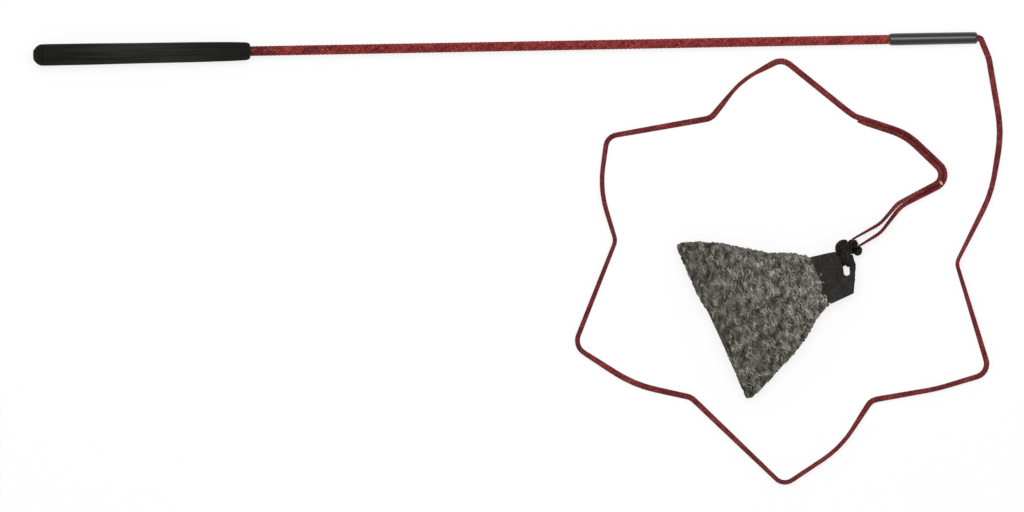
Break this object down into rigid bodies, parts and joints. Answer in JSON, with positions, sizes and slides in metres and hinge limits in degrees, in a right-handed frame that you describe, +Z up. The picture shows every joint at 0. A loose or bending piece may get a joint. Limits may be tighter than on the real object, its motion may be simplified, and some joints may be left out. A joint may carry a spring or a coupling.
{
  "type": "dog flirt pole",
  "caption": "Flirt pole for dogs: a covered rod with a tapered grip and a glossy ferrule, a long flat braided lash, and a curly fleece lure tied on by a knotted thong.",
  "frame": {"origin": "middle of the flat butt face of the grip", "axes": "+X along the pole from the butt to the tip, +Y to the pole's side away from the lash, +Z up from the floor it lies on"},
  "size_m": [0.9357, 0.4398, 0.0235],
  "materials": {
    "rod": "satin",
    "cover_braid": "woven",
    "grip_rubber": "matte",
    "tape": "matte",
    "cap_rubber": "matte",
    "sleeve": "glossy",
    "lash_braid": "woven",
    "thread": "matte",
    "lace": "satin",
    "tab_leather": "satin",
    "dark_thread": "matte",
    "fleece": "curly pile"
  },
  "bodies": {
    "pole": {"core_rod": "rod", "shaft_cover": "cover_braid", "grip": "grip_rubber", "grip_tape": "tape", "butt_cap": "cap_rubber", "ferrule": "sleeve", "lash_binding": "thread", "lash_tail": "lash_braid"},
    "lash": {"lash": "lash_braid", "loop_stitches": "thread"},
    "thong": {"thong": "lace"},
    "lure": {"tab": "tab_leather", "tab_stitches": "dark_thread", "fleece_front": "fleece", "fleece_back": "fleece"}
  },
  "joints": [
    {"name": "lash_swing", "type": "hinge", "parent": "pole", "child": "lash", "pos_m": [0.91709, 0, -0.00506], "axis": [0, 0, 1], "range_deg": [0, 90]},
    {"name": "thong_lift", "type": "hinge", "parent": "lash", "child": "thong", "pos_m": [0.78979, -0.1977, -0.0029], "axis": [-0.4695, 0.8829, 0], "range_deg": [0, 90]},
    {"name": "lure_swing", "type": "hinge", "parent": "thong", "child": "lure", "pos_m": [0.78255, -0.21573, -0.00115], "axis": [0, 0, 1], "range_deg": [-20, 25]}
  ]
}
